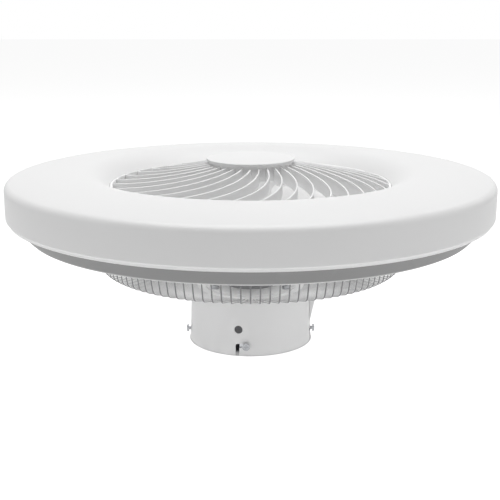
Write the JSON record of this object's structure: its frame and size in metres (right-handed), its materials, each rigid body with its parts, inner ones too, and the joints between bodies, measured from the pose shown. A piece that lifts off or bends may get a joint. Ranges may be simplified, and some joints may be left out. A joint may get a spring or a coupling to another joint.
{
  "type": "ceiling fan with ring light",
  "caption": "Low round ceiling fan with an opal ring light, swirl grille, wire guard and drum canopy, standing on its canopy.",
  "frame": {"origin": "middle of the canopy rim, on the ceiling plane that the canopy and its bracket meet", "axes": "+Z from the ceiling into the room, so the fan stands on its canopy as pictured; -Y is the pictured front, +X is to its right"},
  "size_m": [0.58, 0.58, 0.2282],
  "materials": {
    "white_steel": "satin white powder coat on sheet steel",
    "white_wire": "gloss white dip coat on steel wire",
    "white_abs": "fine matt white moulded ABS",
    "opal_acrylic": "satin opal acrylic",
    "zinc_steel": "bright zinc plated steel",
    "motor_steel": "grey painted steel",
    "cast_aluminium": "fine blasted die casting",
    "core_steel": "laminated electrical steel",
    "copper_wire": "enamelled copper windings",
    "magnet": "sintered ferrite, dark grey",
    "bearing_steel": "ground bearing steel",
    "board": "white solder mask on aluminium",
    "led": "phosphor filled light chips",
    "dark_plastic": "dark glossy plastic",
    "grey_plastic": "matt grey moulded plastic"
  },
  "bodies": {
    "bracket": {"ceiling_bracket": "zinc_steel", "canopy_screws": "zinc_steel", "control_box": "white_abs", "terminal_block": "grey_plastic"},
    "housing": {"ceiling_canopy": "white_steel", "receiver_window": "dark_plastic", "canopy_stay": "white_steel", "guard_plate": "white_steel", "guard_wires": "white_wire", "guard_ring": "white_steel", "fixing_screws": "zinc_steel", "motor_stem": "motor_steel", "stem_bolts": "zinc_steel", "stem_nuts": "zinc_steel", "motor_shaft": "bearing_steel", "lower_bearing": "bearing_steel", "upper_bearing": "bearing_steel", "stator_core": "core_steel", "stator_windings": "copper_wire", "back_shell": "white_abs", "air_duct": "white_abs", "led_tray": "white_steel", "tray_screws": "zinc_steel", "led_boards": "board", "board_screws": "zinc_steel", "led_chips": "led", "led_driver": "grey_plastic", "light_shade": "opal_acrylic", "front_grille": "white_abs", "centre_cap": "white_abs"},
    "rotor": {"rotor_yoke": "core_steel", "rotor_magnets": "magnet", "motor_lower_cover": "cast_aluminium", "motor_upper_cover": "cast_aluminium", "motor_screws": "zinc_steel", "fan_hub": "white_steel", "hub_screws": "zinc_steel", "blade_screws": "zinc_steel", "blade_1": "white_abs", "blade_2": "white_abs", "blade_3": "white_abs", "blade_4": "white_abs", "blade_5": "white_abs"}
  },
  "joints": [
    {"name": "canopy_twist", "type": "hinge", "parent": "bracket", "child": "housing", "pos_m": [0, 0, 0.0123], "axis": [0, 0, 1], "range_deg": [0, 8]},
    {"name": "rotor_spin", "type": "hinge", "parent": "housing", "child": "rotor", "pos_m": [0, 0, 0.127], "axis": [0, 0, 1], "continuous": true}
  ]
}
